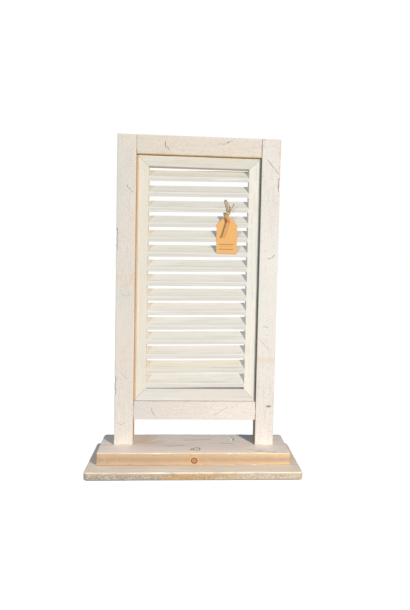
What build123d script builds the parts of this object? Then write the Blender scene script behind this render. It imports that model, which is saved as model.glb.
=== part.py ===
from build123d import *
from math import pi, radians, sin, tan
import os

# A free-standing decorative window shutter of whitewashed pine: a fixed louvre panel
# held in a square frame that stands on a foot of two stepped boards, with a card tag
# on jute twine tied to the third slat. Millimetres. The origin is at the middle of the
# underside, +Z is up, the front looks towards -Y and +X is the viewer's right.

# Foot: the wide board below and the narrower one on it
PLATE_WIDTH = 440.0
PLATE_DEPTH = 175.0
PLATE_THICKNESS = 17.0
PLATE_CORNER_RADIUS = 8.0
PLATE_TOP_ARRIS = 2.0
PLATE_BOTTOM_ARRIS = 4.0

PLINTH_WIDTH = 402.0
PLINTH_DEPTH = 120.0
PLINTH_THICKNESS = 26.0
PLINTH_SETBACK = 37.5
PLINTH_FRONT_CORNER_RADIUS = 3.0
PLINTH_BACK_CORNER_RADIUS = 8.0
PLINTH_ARRIS = 1.5

# Outer frame: two posts with a rail butted between them at the top and another low down
FRAME_WIDTH = 343.0
FRAME_HEIGHT = 657.0
FRAME_SETBACK = 49.0
POST_WIDTH = 40.0
POST_DEPTH = 36.0
RAIL_HEIGHT = 40.0
BOTTOM_GAP = 55.0
FRAME_ARRIS = 1.5

# Louvre panel: four mitred strips that fill the frame, set back from its face. The
# head strip is a little narrower than the other three
PANEL_DEPTH = 20.0
PANEL_RECESS = 8.0
STRIP_WIDTH = 25.5
HEAD_WIDTH = 23.6
STRIP_ARRIS = 0.8

# Slats: thin boards on the slant, their ends let into housings cut across the stiles
SLAT_COUNT = 15
SLAT_RISE = 17.0
SLAT_NOSE = 9.0
SLAT_NOSE_ARRIS = 1.4
SLAT_PLAIN_ARRIS = 0.7
LOWEST_SLAT_CLEARANCE = 1.7
HIGHEST_SLAT_CLEARANCE = 4.2
HOUSING_DEPTH = 10.0

# Card tag, hung flat against the slat noses by its twine
TAG_WIDTH = 44.0
TAG_HEIGHT = 77.0
TAG_THICKNESS = 1.0
TAG_SHOULDER_WIDTH = 14.0
TAG_SHOULDER_DROP = 15.5
TAG_CORNER_RADIUS = 1.5
TAG_HOLE_RADIUS = 2.4
TAG_HOLE_BELOW_TOP = 8.5
TAG_MIDDLE_X = 61.0
TAG_TOP_Z = 533.0
TAG_CLEARANCE = 0.4

# Jute twine, knotted in front of the gap below the third slat. One run goes round that
# slat, one through the tag's hole, and two ends hang free. Points are chosen by hand.
TWINE_DIAMETER = 2.6
TWINE_SIDES = 8
KNOT_DIAMETER = 6.4
KNOT_ROUNDING = 1.8
KNOT = (57.0, 2.6, 539.5)
KNOT_BACK = (56.8, 4.6, 539.2)
SLAT_LOOP_ROUTE = [
    KNOT,
    (62.0, 1.2, 546.0),
    (62.6, 2.2, 555.5),
    (60.8, 8.0, 565.5),
    (58.4, 17.0, 571.8),
    (55.8, 26.4, 574.6),
    (54.2, 32.6, 567.6),
    (54.0, 31.2, 556.5),
    (54.6, 24.0, 547.5),
    (55.6, 15.0, 541.5),
    (56.2, 9.2, 538.6),
    KNOT_BACK,
]
TAG_LOOP_ROUTE = [
    KNOT,
    (58.2, 1.6, 532.6),
    (60.8, 0.9, 525.2),
    (61.0, 9.6, 525.6),
    (60.6, 9.9, 531.5),
    (59.4, 8.2, 536.9),
    KNOT_BACK,
]
UPPER_END_ROUTE = [
    KNOT,
    (62.8, 0.4, 545.0),
    (67.6, -1.0, 552.6),
    (75.0, -1.6, 561.8),
]
LOWER_END_ROUTE = [
    KNOT,
    (61.8, -0.8, 532.0),
    (60.0, -2.6, 521.0),
    (57.0, -3.4, 508.5),
    (53.0, -2.8, 496.0),
]

# Heights and depths that follow from these
plate_front = -PLATE_DEPTH / 2
plinth_front = plate_front + PLINTH_SETBACK
plinth_middle = plinth_front + PLINTH_DEPTH / 2
plinth_top = PLATE_THICKNESS + PLINTH_THICKNESS
frame_front = plinth_front + FRAME_SETBACK
frame_middle = frame_front + POST_DEPTH / 2
frame_top = plinth_top + FRAME_HEIGHT
opening_half = FRAME_WIDTH / 2 - POST_WIDTH
opening_bottom = plinth_top + BOTTOM_GAP + RAIL_HEIGHT
opening_top = frame_top - RAIL_HEIGHT
panel_front = frame_front + PANEL_RECESS
louvre_half = opening_half - STRIP_WIDTH
louvre_bottom = opening_bottom + STRIP_WIDTH
louvre_top = opening_top - HEAD_WIDTH
lowest_slat = louvre_bottom + LOWEST_SLAT_CLEARANCE
highest_slat = louvre_top - HIGHEST_SLAT_CLEARANCE - SLAT_NOSE - SLAT_RISE
slat_pitch = (highest_slat - lowest_slat) / (SLAT_COUNT - 1)

os.makedirs("parts", exist_ok=True)


def front_plane(depth):
    """The upright plane at this depth, looked at from the front."""
    return Plane.XZ.offset(-depth)


def slat_corners(height):
    """A slat's four corners as (depth, height), the foot of its nose at this height."""
    back = panel_front + PANEL_DEPTH
    return [
        (panel_front, height),
        (back, height + SLAT_RISE),
        (back, height + SLAT_RISE + SLAT_NOSE),
        (panel_front, height + SLAT_NOSE),
    ]


# Lower board of the foot, lying flat, its ends and edges worn round
with BuildPart() as base_plate:
    with BuildSketch():
        RectangleRounded(PLATE_WIDTH, PLATE_DEPTH, PLATE_CORNER_RADIUS)
    extrude(amount=PLATE_THICKNESS)
    fillet(base_plate.edges().group_by(Axis.Z)[-1], PLATE_TOP_ARRIS)
    fillet(base_plate.edges().group_by(Axis.Z)[0], PLATE_BOTTOM_ARRIS)
base_plate.part.label = "base_plate"
export_step(base_plate.part, "parts/base_plate.step")

# Upper board of the foot, narrower on all sides, with its back corners rounded off
with BuildPart() as plinth_board:
    with BuildSketch(Plane.XY.offset(PLATE_THICKNESS)) as plinth_outline:
        with Locations((0, plinth_middle)):
            Rectangle(PLINTH_WIDTH, PLINTH_DEPTH)
        fillet(plinth_outline.vertices().group_by(Axis.Y)[0], PLINTH_FRONT_CORNER_RADIUS)
        fillet(plinth_outline.vertices().group_by(Axis.Y)[-1], PLINTH_BACK_CORNER_RADIUS)
    extrude(amount=PLINTH_THICKNESS)
    chamfer(plinth_board.edges().group_by(Axis.Z)[-1], PLINTH_ARRIS)
    chamfer(plinth_board.edges().group_by(Axis.Z)[0], PLINTH_ARRIS)
plinth_board.part.label = "plinth_board"
export_step(plinth_board.part, "parts/plinth_board.step")

# Left post, the full height of the frame, standing on the plinth board
with BuildPart() as left_post:
    with BuildSketch(Plane.XY.offset(plinth_top)):
        with Locations((-(FRAME_WIDTH - POST_WIDTH) / 2, frame_middle)):
            Rectangle(POST_WIDTH, POST_DEPTH)
    extrude(amount=FRAME_HEIGHT)
    fillet(left_post.edges().filter_by(Axis.Z), FRAME_ARRIS)
    fillet(left_post.faces().sort_by(Axis.Z)[-1].edges(), FRAME_ARRIS)
left_post.part.label = "left_post"
export_step(left_post.part, "parts/left_post.step")

# Right post, its mirror image
with BuildPart() as right_post:
    mirror(left_post.part, about=Plane.YZ)
right_post.part.label = "right_post"
export_step(right_post.part, "parts/right_post.step")

# Top rail, butted between the posts and flush with their tops
with BuildPart() as top_rail:
    with BuildSketch(Plane.YZ.offset(-opening_half)):
        with Locations((frame_middle, frame_top - RAIL_HEIGHT / 2)):
            Rectangle(POST_DEPTH, RAIL_HEIGHT)
    extrude(amount=2 * opening_half)
    fillet(top_rail.edges().filter_by(Axis.X), FRAME_ARRIS)
top_rail.part.label = "top_rail"
export_step(top_rail.part, "parts/top_rail.step")

# Bottom rail, which carries the louvre panel clear of the foot
with BuildPart() as bottom_rail:
    with BuildSketch(Plane.YZ.offset(-opening_half)):
        with Locations((frame_middle, opening_bottom - RAIL_HEIGHT / 2)):
            Rectangle(POST_DEPTH, RAIL_HEIGHT)
    extrude(amount=2 * opening_half)
    fillet(bottom_rail.edges().filter_by(Axis.X), FRAME_ARRIS)
bottom_rail.part.label = "bottom_rail"
export_step(bottom_rail.part, "parts/bottom_rail.step")

slat_heights = [highest_slat - step * slat_pitch for step in range(SLAT_COUNT)]

# Left stile of the panel, mitred at both ends and housed for every slat
with BuildPart() as left_stile:
    with BuildSketch(front_plane(panel_front)):
        with BuildLine():
            Polyline(
                (-opening_half, opening_bottom),
                (-louvre_half, louvre_bottom),
                (-louvre_half, louvre_top),
                (-opening_half, opening_top),
                close=True,
            )
        make_face()
    extrude(amount=-PANEL_DEPTH)
    chamfer(left_stile.edges().filter_by(Axis.Z), STRIP_ARRIS)
    with BuildSketch(Plane.YZ.offset(-louvre_half - HOUSING_DEPTH)):
        for slat_height in slat_heights:
            Polygon(*slat_corners(slat_height), align=None)
    extrude(amount=HOUSING_DEPTH, mode=Mode.SUBTRACT)
left_stile.part.label = "left_stile"
export_step(left_stile.part, "parts/left_stile.step")

# Right stile, its mirror image
with BuildPart() as right_stile:
    mirror(left_stile.part, about=Plane.YZ)
right_stile.part.label = "right_stile"
export_step(right_stile.part, "parts/right_stile.step")

# Head strip of the panel, mitred to both stiles
with BuildPart() as panel_head:
    with BuildSketch(front_plane(panel_front)):
        with BuildLine():
            Polyline(
                (-opening_half, opening_top),
                (-louvre_half, louvre_top),
                (louvre_half, louvre_top),
                (opening_half, opening_top),
                close=True,
            )
        make_face()
    extrude(amount=-PANEL_DEPTH)
    chamfer(panel_head.edges().filter_by(Axis.X), STRIP_ARRIS)
panel_head.part.label = "panel_head"
export_step(panel_head.part, "parts/panel_head.step")

# Sill strip of the panel, resting on the bottom rail
with BuildPart() as panel_sill:
    with BuildSketch(front_plane(panel_front)):
        with BuildLine():
            Polyline(
                (-opening_half, opening_bottom),
                (-louvre_half, louvre_bottom),
                (louvre_half, louvre_bottom),
                (opening_half, opening_bottom),
                close=True,
            )
        make_face()
    extrude(amount=-PANEL_DEPTH)
    chamfer(panel_sill.edges().filter_by(Axis.X), STRIP_ARRIS)
panel_sill.part.label = "panel_sill"
export_step(panel_sill.part, "parts/panel_sill.step")

# Slats, numbered from the top. The nose is planed upright, flush with the panel's face,
# and the arrises are eased between the stiles only, so that the ends fill their housings
for number, slat_height in enumerate(slat_heights, start=1):
    with BuildPart() as slat:
        with BuildSketch(Plane.YZ.offset(-louvre_half - HOUSING_DEPTH)):
            Polygon(*slat_corners(slat_height), align=None)
        extrude(amount=HOUSING_DEPTH)
        with BuildSketch(Plane.YZ.offset(-louvre_half)) as blade:
            Polygon(*slat_corners(slat_height), align=None)
            nose = blade.vertices().group_by(Axis.X)[0]
            fillet(nose.sort_by(Axis.Y)[-1], SLAT_NOSE_ARRIS)
            chamfer(nose.sort_by(Axis.Y)[0], SLAT_PLAIN_ARRIS)
            chamfer(blade.vertices().group_by(Axis.X)[-1], SLAT_PLAIN_ARRIS)
        extrude(amount=2 * louvre_half)
        with BuildSketch(Plane.YZ.offset(louvre_half)):
            Polygon(*slat_corners(slat_height), align=None)
        extrude(amount=HOUSING_DEPTH)
    slat.part.label = f"slat_{number:02d}"
    export_step(slat.part, f"parts/slat_{number:02d}.step")

# Card tag with cut shoulders and a punched hole
tag_back = panel_front - TAG_CLEARANCE
tag_left = TAG_MIDDLE_X - TAG_WIDTH / 2
tag_right = TAG_MIDDLE_X + TAG_WIDTH / 2
tag_bottom = TAG_TOP_Z - TAG_HEIGHT
tag_shoulder = TAG_TOP_Z - TAG_SHOULDER_DROP
tag_hole = TAG_TOP_Z - TAG_HOLE_BELOW_TOP
with BuildPart() as hang_tag:
    with BuildSketch(front_plane(tag_back)) as tag_outline:
        with BuildLine():
            Polyline(
                (tag_left, tag_bottom),
                (tag_right, tag_bottom),
                (tag_right, tag_shoulder),
                (tag_right - TAG_SHOULDER_WIDTH, TAG_TOP_Z),
                (tag_left + TAG_SHOULDER_WIDTH, TAG_TOP_Z),
                (tag_left, tag_shoulder),
                close=True,
            )
        make_face()
        fillet(tag_outline.vertices(), TAG_CORNER_RADIUS)
        with Locations((TAG_MIDDLE_X, tag_hole)):
            Circle(TAG_HOLE_RADIUS, mode=Mode.SUBTRACT)
    extrude(amount=TAG_THICKNESS)
hang_tag.part.label = "hang_tag"
export_step(hang_tag.part, "parts/hang_tag.step")


twine_radius = TWINE_DIAMETER / 2


def corner_radii(route):
    """A radius for each bend of the twine, as large as the two runs beside it allow."""
    points = [Vector(*point) for point in route]
    radii = []
    for before, corner, after in zip(points, points[1:], points[2:]):
        arriving = corner - before
        leaving = after - corner
        shorter = min(arriving.length, leaving.length)
        radii.append(0.45 * shorter / tan(radians(arriving.get_angle(leaving)) / 2))
    return radii


def twine_run(route):
    """Twine laid along one route, straight runs joined by arcs."""
    with BuildPart() as run:
        with BuildLine():
            centre_line = FilletPolyline(*route, radius=corner_radii(route))
        with BuildSketch(Plane(origin=centre_line @ 0, z_dir=centre_line % 0)):
            RegularPolygon(twine_radius, TWINE_SIDES)
        sweep()
    section = TWINE_SIDES / 2 * twine_radius**2 * sin(2 * pi / TWINE_SIDES)
    print(
        "twine run of", round(centre_line.length, 1),
        "mm, its volume over section times length", round(run.part.volume / (section * centre_line.length), 4),
        "and radii", [round(radius, 1) for radius in corner_radii(route)],
    )
    return run.part


# Jute twine that ties the tag to the third slat, with its knot
twine_routes = [SLAT_LOOP_ROUTE, TAG_LOOP_ROUTE, UPPER_END_ROUTE, LOWER_END_ROUTE]
twine_runs = [twine_run(route) for route in twine_routes]
with BuildPart() as twine:
    with Locations(KNOT):
        Box(KNOT_DIAMETER, KNOT_DIAMETER, KNOT_DIAMETER)
    chamfer(twine.edges(), KNOT_ROUNDING)
    add(twine_runs)
twine.part.label = "twine"
export_step(twine.part, "parts/twine.step")
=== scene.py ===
import math
import random
import bmesh
import bpy
from mathutils import Matrix, Vector


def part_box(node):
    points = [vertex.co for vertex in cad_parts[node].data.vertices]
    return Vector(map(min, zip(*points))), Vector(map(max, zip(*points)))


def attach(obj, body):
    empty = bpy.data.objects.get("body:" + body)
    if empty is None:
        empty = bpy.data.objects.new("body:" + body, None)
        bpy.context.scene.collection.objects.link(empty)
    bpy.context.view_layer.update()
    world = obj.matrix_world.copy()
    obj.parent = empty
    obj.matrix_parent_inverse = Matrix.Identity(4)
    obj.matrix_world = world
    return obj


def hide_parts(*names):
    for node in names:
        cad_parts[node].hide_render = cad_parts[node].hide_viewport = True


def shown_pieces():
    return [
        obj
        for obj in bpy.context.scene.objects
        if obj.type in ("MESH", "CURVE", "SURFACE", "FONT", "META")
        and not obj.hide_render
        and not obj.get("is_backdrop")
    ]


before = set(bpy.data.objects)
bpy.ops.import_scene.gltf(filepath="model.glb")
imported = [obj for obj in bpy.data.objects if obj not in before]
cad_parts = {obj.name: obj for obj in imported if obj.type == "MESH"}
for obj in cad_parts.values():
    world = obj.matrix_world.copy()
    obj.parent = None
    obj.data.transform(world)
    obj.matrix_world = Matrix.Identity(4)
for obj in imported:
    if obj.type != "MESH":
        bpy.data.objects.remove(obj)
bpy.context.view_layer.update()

# The foot's lower board
# A planed pine board lies flat on the floor. Its corners were rounded with a jigsaw, its top was brushed
# with thin grey-white wash, and its edges were rubbed back with coarse paper, so that raw wood and
# primer show in streaks along the front.
MM = 0.001
PLATE_CORNER = 8 * MM
PLATE_TOP_ARRIS = 2 * MM
PLATE_BOTTOM_ARRIS = 4 * MM
PLATE_STEPS = (4 * MM, 6 * MM, 5 * MM)
PLATE_FRONT = -88
PLATE_PITH = Vector((0, 20, -60)) * MM
WORN_REACH = 3.5 * MM
FOOT_ARRIS_WEAR = 0.6 * MM
FACE_WEAR = 0.2 * MM


class Tone:
    """A value, colour or place that varies over a surface, held as one socket of its material's nodes."""

    def __init__(self, tree, socket):
        self.tree = tree
        self.socket = socket

    def node(self, kind, settings, sockets, output=0):
        """Adds a node, makes its settings, fills its sockets with values or tones, and gives one output."""
        made = self.tree.nodes.new("ShaderNode" + kind)
        for name, value in settings.items():
            setattr(made, name, value)
        for name, value in sockets.items():
            if isinstance(value, Tone):
                self.tree.links.new(value.socket, made.inputs[name])
            else:
                made.inputs[name].default_value = value
        return Tone(self.tree, made.outputs[output])

    def maths(self, operation, *others):
        return self.node("Math", {"operation": operation}, dict(enumerate((self,) + others)))

    def vector(self, operation, other, output=0):
        return self.node("VectorMath", {"operation": operation}, {0: self, 1: other}, output)

    def __add__(self, other):
        return self.maths("ADD", other)

    def __sub__(self, other):
        return self.maths("SUBTRACT", other)

    def __mul__(self, other):
        return self.maths("MULTIPLY", other)

    def __rsub__(self, other):
        return self * -1 + other

    __radd__ = __add__
    __rmul__ = __mul__

    def least(self, other):
        return self.maths("MINIMUM", other)

    def most(self, other):
        return self.maths("MAXIMUM", other)

    def length(self):
        return self.vector("LENGTH", (0, 0, 0), 1)

    def step(self, off, on):
        """0 where the value is at or past off, 1 where it is at or past on, and smooth between them."""
        limits = {"Value": self, "From Min": off, "From Max": on}
        return self.node("MapRange", {"interpolation_type": "SMOOTHSTEP"}, limits)

    def near(self, middle, reach):
        """1 at a middle value, falling to 0 at a reach from it on both sides."""
        return (self - middle).maths("ABSOLUTE").step(reach, 0.0)

    def parts(self):
        """The x, y and z of a place."""
        return [self.node("SeparateXYZ", {}, {0: self}, output) for output in range(3)]

    def clouds(self, feature, drawn=(1, 1, 1), depth=2.0, seed=0.0):
        """Random patches about as large as the feature, longer along an axis whose share is small."""
        moved = self.vector("MULTIPLY", drawn).vector("ADD", (seed, seed, seed))
        return self.node("TexNoise", {}, {"Vector": moved, "Scale": 1 / feature, "Detail": depth})

    def specks(self, spacing, radius, share):
        """Round specks: one in each cell of the spacing, in a share of the cells."""
        cells = {"Vector": self, "Scale": 1 / spacing}
        gap = self.node("TexVoronoi", {}, cells) * spacing
        lot = self.node("TexVoronoi", {}, cells, 1).parts()[0]
        return gap.step(radius, 0.4 * radius) * lot.step(share + 0.01, share)

    def gap_to_point(self, point):
        """How far a place is from a point."""
        return self.vector("SUBTRACT", point).length()

    def gap_to_line(self, start, end):
        """How far a place is from the straight line between two points."""
        run = Vector(end) - Vector(start)
        off = self.vector("SUBTRACT", Vector(start))
        share = (off.vector("DOT_PRODUCT", run, 1) * (1 / run.length_squared)).most(0.0).least(1.0)
        foot = self.node("VectorMath", {"operation": "SCALE"}, {0: run, "Scale": share})
        return off.vector("SUBTRACT", foot).length()


def tint(red, green, blue):
    """A paint colour given by its shades from 0 to 255, as the linear colour that nodes hold."""
    shades = [value / 255 for value in (red, green, blue)]
    return [s / 12.92 if s < 0.04045 else ((s + 0.055) / 1.055) ** 2.4 for s in shades] + [1.0]


class Coat:
    """The finish of one piece, laid on in layers as at the bench: colour, roughness and height."""

    def __init__(self, name, colour, roughness=0.75):
        self.material = bpy.data.materials.new(name)
        self.material.use_nodes = True
        self.tree = self.material.node_tree
        coordinates = self.tree.nodes.new("ShaderNodeTexCoord")
        self.place = Tone(self.tree, coordinates.outputs["Object"])
        self.x, self.y, self.z = self.place.parts()
        self.colour = colour
        self.roughness = self.x * 0.0 + roughness
        self.height = self.x * 0.0

    def layer(self, mask, colour=None, roughness=None, height=None):
        """Lays a colour, a roughness or a height in metres over what is there, where the mask says."""
        if colour is not None:
            mix = {0: mask, 6: self.colour, 7: colour}
            self.colour = mask.node("Mix", {"data_type": "RGBA"}, mix, 2)
        if roughness is not None:
            self.roughness = mask * (roughness - self.roughness) + self.roughness
        if height is not None:
            self.height = mask * height + self.height

    def put_on(self, *pieces):
        """Joins the layers to the shader and gives the material to the pieces."""
        shader = self.tree.nodes["Principled BSDF"]
        bump = self.place.node("Bump", {}, {"Strength": 1.0, "Distance": 1.0, "Height": self.height})
        for socket, tone in (("Base Color", self.colour), ("Roughness", self.roughness), ("Normal", bump)):
            self.tree.links.new(tone.socket, shader.inputs[socket])
        shader.inputs["Specular IOR Level"].default_value = 0.25
        for piece in pieces:
            piece.data.materials.clear()
            piece.data.materials.append(self.material)


def arris_gap(coat, low, high):
    """How far a place on a squared timber is from its nearest arris: the middle one of its three gaps."""
    x = (coat.x - low.x).least(high.x - coat.x)
    y = (coat.y - low.y).least(high.y - coat.y)
    z = (coat.z - low.z).least(high.z - coat.z)
    return x.least(y).most(x.most(y).least(z))


def drawn_out(along, share):
    """Scales for a pattern that is drawn out along one axis, where its share is small."""
    return [share if axis == along else 1.0 for axis in "xyz"]


def growth_rings(coat, along, pith, ring, waver):
    """The late wood of the yearly rings round a pith line that runs along an axis, from 0 to 1."""
    wander = coat.place.clouds(30 * MM, drawn_out(along, 0.1), 1.0) * waver
    off = coat.place.vector("SUBTRACT", pith).vector("MULTIPLY", drawn_out(along, 0.0))
    turn = (off.length() + wander) * (2 * math.pi / ring)
    return turn.maths("SINE").step(-0.2, 1.0)


def mark(coat, points, width, colour, depth=0.0, fray=2.5):
    """A scratch or gouge through points given in millimetres, frayed at its sides."""
    gap = coat.place.clouds(fray * MM) * (1.4 * width)
    gaps = [coat.place.gap_to_line(Vector(a) * MM, Vector(b) * MM) for a, b in zip(points, points[1:])]
    nearest = gaps[0]
    for other in gaps[1:]:
        nearest = nearest.least(other)
    coat.layer((nearest + gap).step(1.6 * width, 0.7 * width), colour, height=-depth)


def front_mark(coat, at, points, width, colour, depth=0.0, fray=2.5):
    """A mark on a front face at a depth, its points given by x and z, and all of it in millimetres."""
    mark(coat, [(x, at, z) for x, z in points], width * MM, colour, depth * MM, fray)


def squared_block(name, node):
    """Starts a timber as a block that fills a node's box, and leaves it in edit mode."""
    low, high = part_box(node)
    bpy.ops.object.select_all(action="DESELECT")
    bpy.ops.mesh.primitive_cube_add(size=1, location=(low + high) / 2, scale=high - low)
    block = bpy.context.object
    block.name = name
    bpy.ops.object.transform_apply(location=True, rotation=True, scale=True)
    bpy.ops.object.mode_set(mode="EDIT")
    bpy.ops.mesh.select_mode(type="EDGE")
    return block


def round_edges(block, wanted, radius, segments):
    """Rounds the edges whose two ends pass a test."""
    bpy.ops.mesh.select_all(action="DESELECT")
    mesh = bmesh.from_edit_mesh(block.data)
    for edge in mesh.edges:
        edge.select_set(wanted(edge.verts[0].co, edge.verts[1].co))
    bmesh.update_edit_mesh(block.data)
    bpy.ops.mesh.bevel(offset=radius, segments=segments, affect="EDGES")


def cut_across(low, high, steps):
    """Cuts the block in edit mode into even lengths along each axis, so that it can be worn."""
    for axis, step in enumerate(steps):
        count = max(2, round((high[axis] - low[axis]) / step))
        normal = Vector([float(other == axis) for other in range(3)])
        for cut in range(1, count):
            bpy.ops.mesh.select_all(action="SELECT")
            at = low[axis] + (high[axis] - low[axis]) * cut / count
            bpy.ops.mesh.bisect(plane_co=normal * at, plane_no=normal)


def wear(block, low, high, arris_wear, face_wear):
    """Leaves edit mode, rubs the arrises back unevenly and leaves the faces a little out of true."""
    bpy.ops.object.mode_set(mode="OBJECT")
    arrises = block.vertex_groups.new(name="arrises")
    for vertex in block.data.vertices:
        gaps = sorted(min(vertex.co[axis] - low[axis], high[axis] - vertex.co[axis]) for axis in range(3))
        arrises.add([vertex.index], max(0.0, 1 - gaps[1] / WORN_REACH), "REPLACE")
    for name, feature, strength, middle, group in (
        ("rubbing", 7 * MM, -arris_wear, 0.35, "arrises"),
        ("knocks", 25 * MM, -1.4 * arris_wear, 0.45, "arrises"),
        ("planing", 40 * MM, face_wear, 0.5, ""),
    ):
        texture = bpy.data.textures.new(f"{block.name}_{name}", "CLOUDS")
        texture.noise_scale = feature
        texture.noise_depth = 1
        texture.contrast = 1.6
        displace = block.modifiers.new(name, "DISPLACE")
        displace.texture = texture
        displace.texture_coords = "LOCAL"
        displace.vertex_group = group
        displace.mid_level = middle
        displace.strength = strength
        bpy.ops.object.modifier_apply(modifier=name)
    for vertex in block.data.vertices:
        vertex.co.z = max(vertex.co.z, low.z)
    bpy.ops.object.shade_smooth_by_angle(angle=math.radians(50))


def knock(block, at, reach, push):
    """Presses the timber in round a point, as a knock does. All three are in millimetres."""
    bpy.ops.object.mode_set(mode="EDIT")
    bpy.ops.mesh.select_mode(type="VERT")
    bpy.ops.mesh.select_all(action="DESELECT")
    mesh = bmesh.from_edit_mesh(block.data)
    min(mesh.verts, key=lambda vertex: (vertex.co - Vector(at) * MM).length).select_set(True)
    bmesh.update_edit_mesh(block.data)
    bpy.ops.transform.translate(value=Vector(push) * MM, use_proportional_edit=True,
                                proportional_edit_falloff="SMOOTH", proportional_size=reach * MM)
    bpy.ops.object.mode_set(mode="OBJECT")


def set_in(piece, node):
    """The finished piece rides with the object in place of its plain node."""
    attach(piece, "root")
    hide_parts(node)


def upright(start, end):
    return abs(start.z - end.z) > MM


PLATE_WASH = (219, 210, 199)
EDGE_WASH = tint(183, 167, 148)
EDGE_WASH_RIGHT = tint(197, 184, 169)
EDGE_WHITE = tint(228, 220, 206)
WORN_PRIMER = tint(240, 227, 204)
BARE_PRIMER = tint(250, 244, 232)
EDGE_BARE = tint(186, 146, 100)
EDGE_PITS = tint(150, 128, 104)
GOLDEN_STRIP = tint(208, 172, 124)
GOLDEN_LINE = tint(206, 174, 130)
GOLDEN_STREAK = tint(204, 164, 110)
GOLDEN_TAPER = tint(204, 168, 120)
BOTTOM_SHADE = tint(132, 118, 106)
BOTTOM_WOOD_AND_BOUNCE = tint(226, 180, 126)
ARRIS_PINE = tint(216, 196, 168)
ARRIS_TAN = tint(226, 188, 146)
CHIP_SHADE = tint(160, 146, 136)
CHIP_LIP = tint(236, 224, 214)


def grey_wash(name, colour, pith):
    """The thin grey-white wash of both tops: brushed along the board, growth rings showing through."""
    coat = Coat(name, tint(*colour))
    for shift, feature, seed in (((-9, -3, -4), 90 * MM, 0.0), ((5, -3, -5), 70 * MM, 5.0)):
        patches = coat.place.clouds(feature, (0.45, 1, 1), 3.0, seed)
        coat.layer(patches.step(0.42, 0.7), tint(*[a + b for a, b in zip(colour, shift)]))
    rings = growth_rings(coat, "x", pith, ring=6 * MM, waver=14 * MM)
    coat.layer(rings * 0.2, tint(*[shade - 38 for shade in colour]), height=-0.05 * MM)
    streaks = coat.place.clouds(2.2 * MM, (0.05, 1, 1), 3.0)
    coat.layer(streaks.step(0.5, 0.8) * 0.35, tint(*[shade - 38 for shade in colour]), height=-0.04 * MM)
    coat.layer(streaks.step(0.45, 0.2) * 0.35, tint(*[min(250, shade + 18) for shade in colour]))
    broad = coat.place.clouds(13 * MM, (0.15, 1, 1), 3.0, 2.0)
    coat.layer(broad.step(0.52, 0.7) * 0.35, tint(*[shade - 20 for shade in colour]))
    coat.layer(broad.step(0.46, 0.3) * 0.4, tint(*[min(250, shade + 10) for shade in colour]))
    return coat


plate_low, plate_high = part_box("base_plate")
plate = squared_block("base_plate_worn", "base_plate")
round_edges(plate, upright, PLATE_CORNER, 6)
round_edges(plate, lambda a, b: min(a.z, b.z) > plate_high.z - MM, PLATE_TOP_ARRIS, 3)
round_edges(plate, lambda a, b: max(a.z, b.z) < plate_low.z + MM, PLATE_BOTTOM_ARRIS, 4)
cut_across(plate_low, plate_high, PLATE_STEPS)
wear(plate, plate_low, plate_high, FOOT_ARRIS_WEAR, FACE_WEAR)
set_in(plate, "base_plate")

plate_coat = grey_wash("base_plate_wash", PLATE_WASH, PLATE_PITH)
below_top = plate_high.z - plate_coat.z
ragged = plate_coat.place.clouds(9 * MM, (0.35, 1, 1), 3.0)
side = (below_top + (ragged - 0.5) * (3 * MM)).step(1.6 * MM, 2.4 * MM)
plate_coat.layer(side, EDGE_WASH)
plate_coat.layer(side * plate_coat.x.step(0.0, 120 * MM), EDGE_WASH_RIGHT)
plate_coat.layer(side * plate_coat.x.near(10 * MM, 110 * MM) * ragged.step(0.7, 0.4) * 0.8, EDGE_BARE)
rough = plate_coat.place.clouds(1.7 * MM, (0.5, 1, 1), 3.0)
plate_coat.layer(side * rough.step(0.5, 0.68) * 0.85, EDGE_WHITE, height=0.1 * MM)
plate_coat.layer(side * rough.step(0.46, 0.28) * 0.75, EDGE_PITS)
golden_strip = below_top.near(3.6 * MM, 2.6 * MM) * ragged.step(0.4, 0.55)
plate_coat.layer(side * golden_strip * 0.8, GOLDEN_STRIP)
front_mark(plate_coat, PLATE_FRONT, ((60, 13), (140, 13.6), (216, 13.2)), 1.5, GOLDEN_LINE, fray=6)
front_mark(plate_coat, PLATE_FRONT, ((-72, 1.2), (-50, 6.4), (-4, 9.2)), 4.4, GOLDEN_STREAK, fray=12)
front_mark(plate_coat, PLATE_FRONT, ((-4, 9.2), (40, 11.6), (81, 13.1)), 3.6, GOLDEN_TAPER, fray=12)
front_mark(plate_coat, PLATE_FRONT + 1, ((-110, 1), (-68, 1)), 1.4, BOTTOM_SHADE)
# Bare tan wood along the bottom of the front, painted lighter as painted bounce light from the floor.
plate_coat.layer(plate_coat.z.step(4.8 * MM, 2.6 * MM) * plate_coat.x.step(-75 * MM, -60 * MM), BOTTOM_WOOD_AND_BOUNCE)
at_arris = below_top.near(1.1 * MM, 1.7 * MM) * side.most(arris_gap(
    plate_coat, plate_low, plate_high).step(3.2 * MM, 1.8 * MM))
plate_coat.layer(at_arris * 0.6, ARRIS_PINE)
plate_coat.layer(at_arris * ragged.step(0.42, 0.56), WORN_PRIMER, roughness=0.6)
plate_coat.layer(at_arris * plate_coat.x.near(-139 * MM, 16 * MM), ARRIS_TAN)
plate_coat.layer(at_arris * plate_coat.x.near(-72 * MM, 30 * MM), BARE_PRIMER)
front_mark(plate_coat, PLATE_FRONT, ((104, 14.8), (125, 15.4), (146, 14.8)), 0.9, CHIP_SHADE, 0.2)
mark(plate_coat, ((103, -86, 17), (124, -84, 17), (145, -86, 17)), 2.0 * MM, CHIP_LIP)
plate_coat.put_on(plate)

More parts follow.
